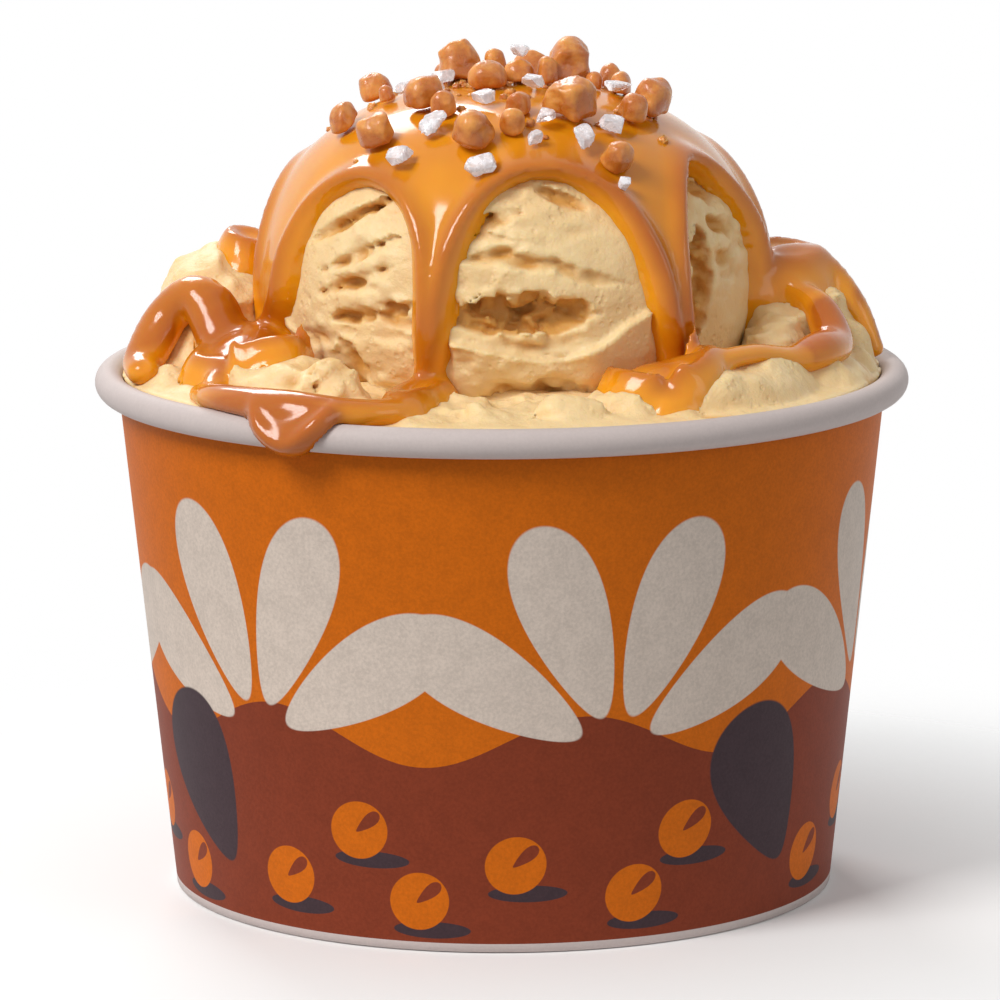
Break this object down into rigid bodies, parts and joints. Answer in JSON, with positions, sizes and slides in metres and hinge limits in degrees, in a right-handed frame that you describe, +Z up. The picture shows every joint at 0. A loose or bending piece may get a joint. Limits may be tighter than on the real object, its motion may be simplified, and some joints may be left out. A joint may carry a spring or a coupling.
{
  "type": "paper dessert cup",
  "caption": "Paper cup with a rolled rim, filled with ice cream under caramel sauce, toffee crumbs and salt flakes.",
  "frame": {"origin": "centre of the circle on which the cup stands", "axes": "+Z up along the cup's axis, -Y towards the front that the picture shows, +X to its right"},
  "size_m": [0.096, 0.096, 0.0997],
  "materials": {
    "printed_board": "printed and coated paper board, satin",
    "white_board": "uncoated white paper board",
    "ice_cream": "creamy, soft and slightly wet",
    "caramel": "thick glossy translucent sauce",
    "toffee": "broken glossy hard toffee",
    "salt": "translucent crystal flakes"
  },
  "bodies": {
    "root": {"caramel_sauce": "caramel", "cup_bottom": "white_board", "cup_wall": "printed_board", "ice_cream_bed": "ice_cream", "ice_cream_scoop": "ice_cream", "salt_01": "salt", "salt_02": "salt", "salt_03": "salt", "salt_04": "salt", "salt_05": "salt", "salt_06": "salt", "salt_07": "salt", "salt_08": "salt", "salt_09": "salt", "salt_10": "salt", "salt_11": "salt", "salt_12": "salt", "salt_13": "salt", "salt_14": "salt", "salt_15": "salt", "salt_16": "salt", "salt_17": "salt", "toffee_01": "toffee", "toffee_02": "toffee", "toffee_03": "toffee", "toffee_04": "toffee", "toffee_05": "toffee", "toffee_06": "toffee", "toffee_07": "toffee", "toffee_08": "toffee", "toffee_09": "toffee", "toffee_10": "toffee", "toffee_11": "toffee", "toffee_12": "toffee", "toffee_13": "toffee", "toffee_14": "toffee", "toffee_15": "toffee", "toffee_16": "toffee", "toffee_17": "toffee", "toffee_18": "toffee", "toffee_19": "toffee", "toffee_20": "toffee", "toffee_21": "toffee", "toffee_22": "toffee", "toffee_23": "toffee", "toffee_24": "toffee", "toffee_25": "toffee", "toffee_26": "toffee"}
  },
  "joints": []
}
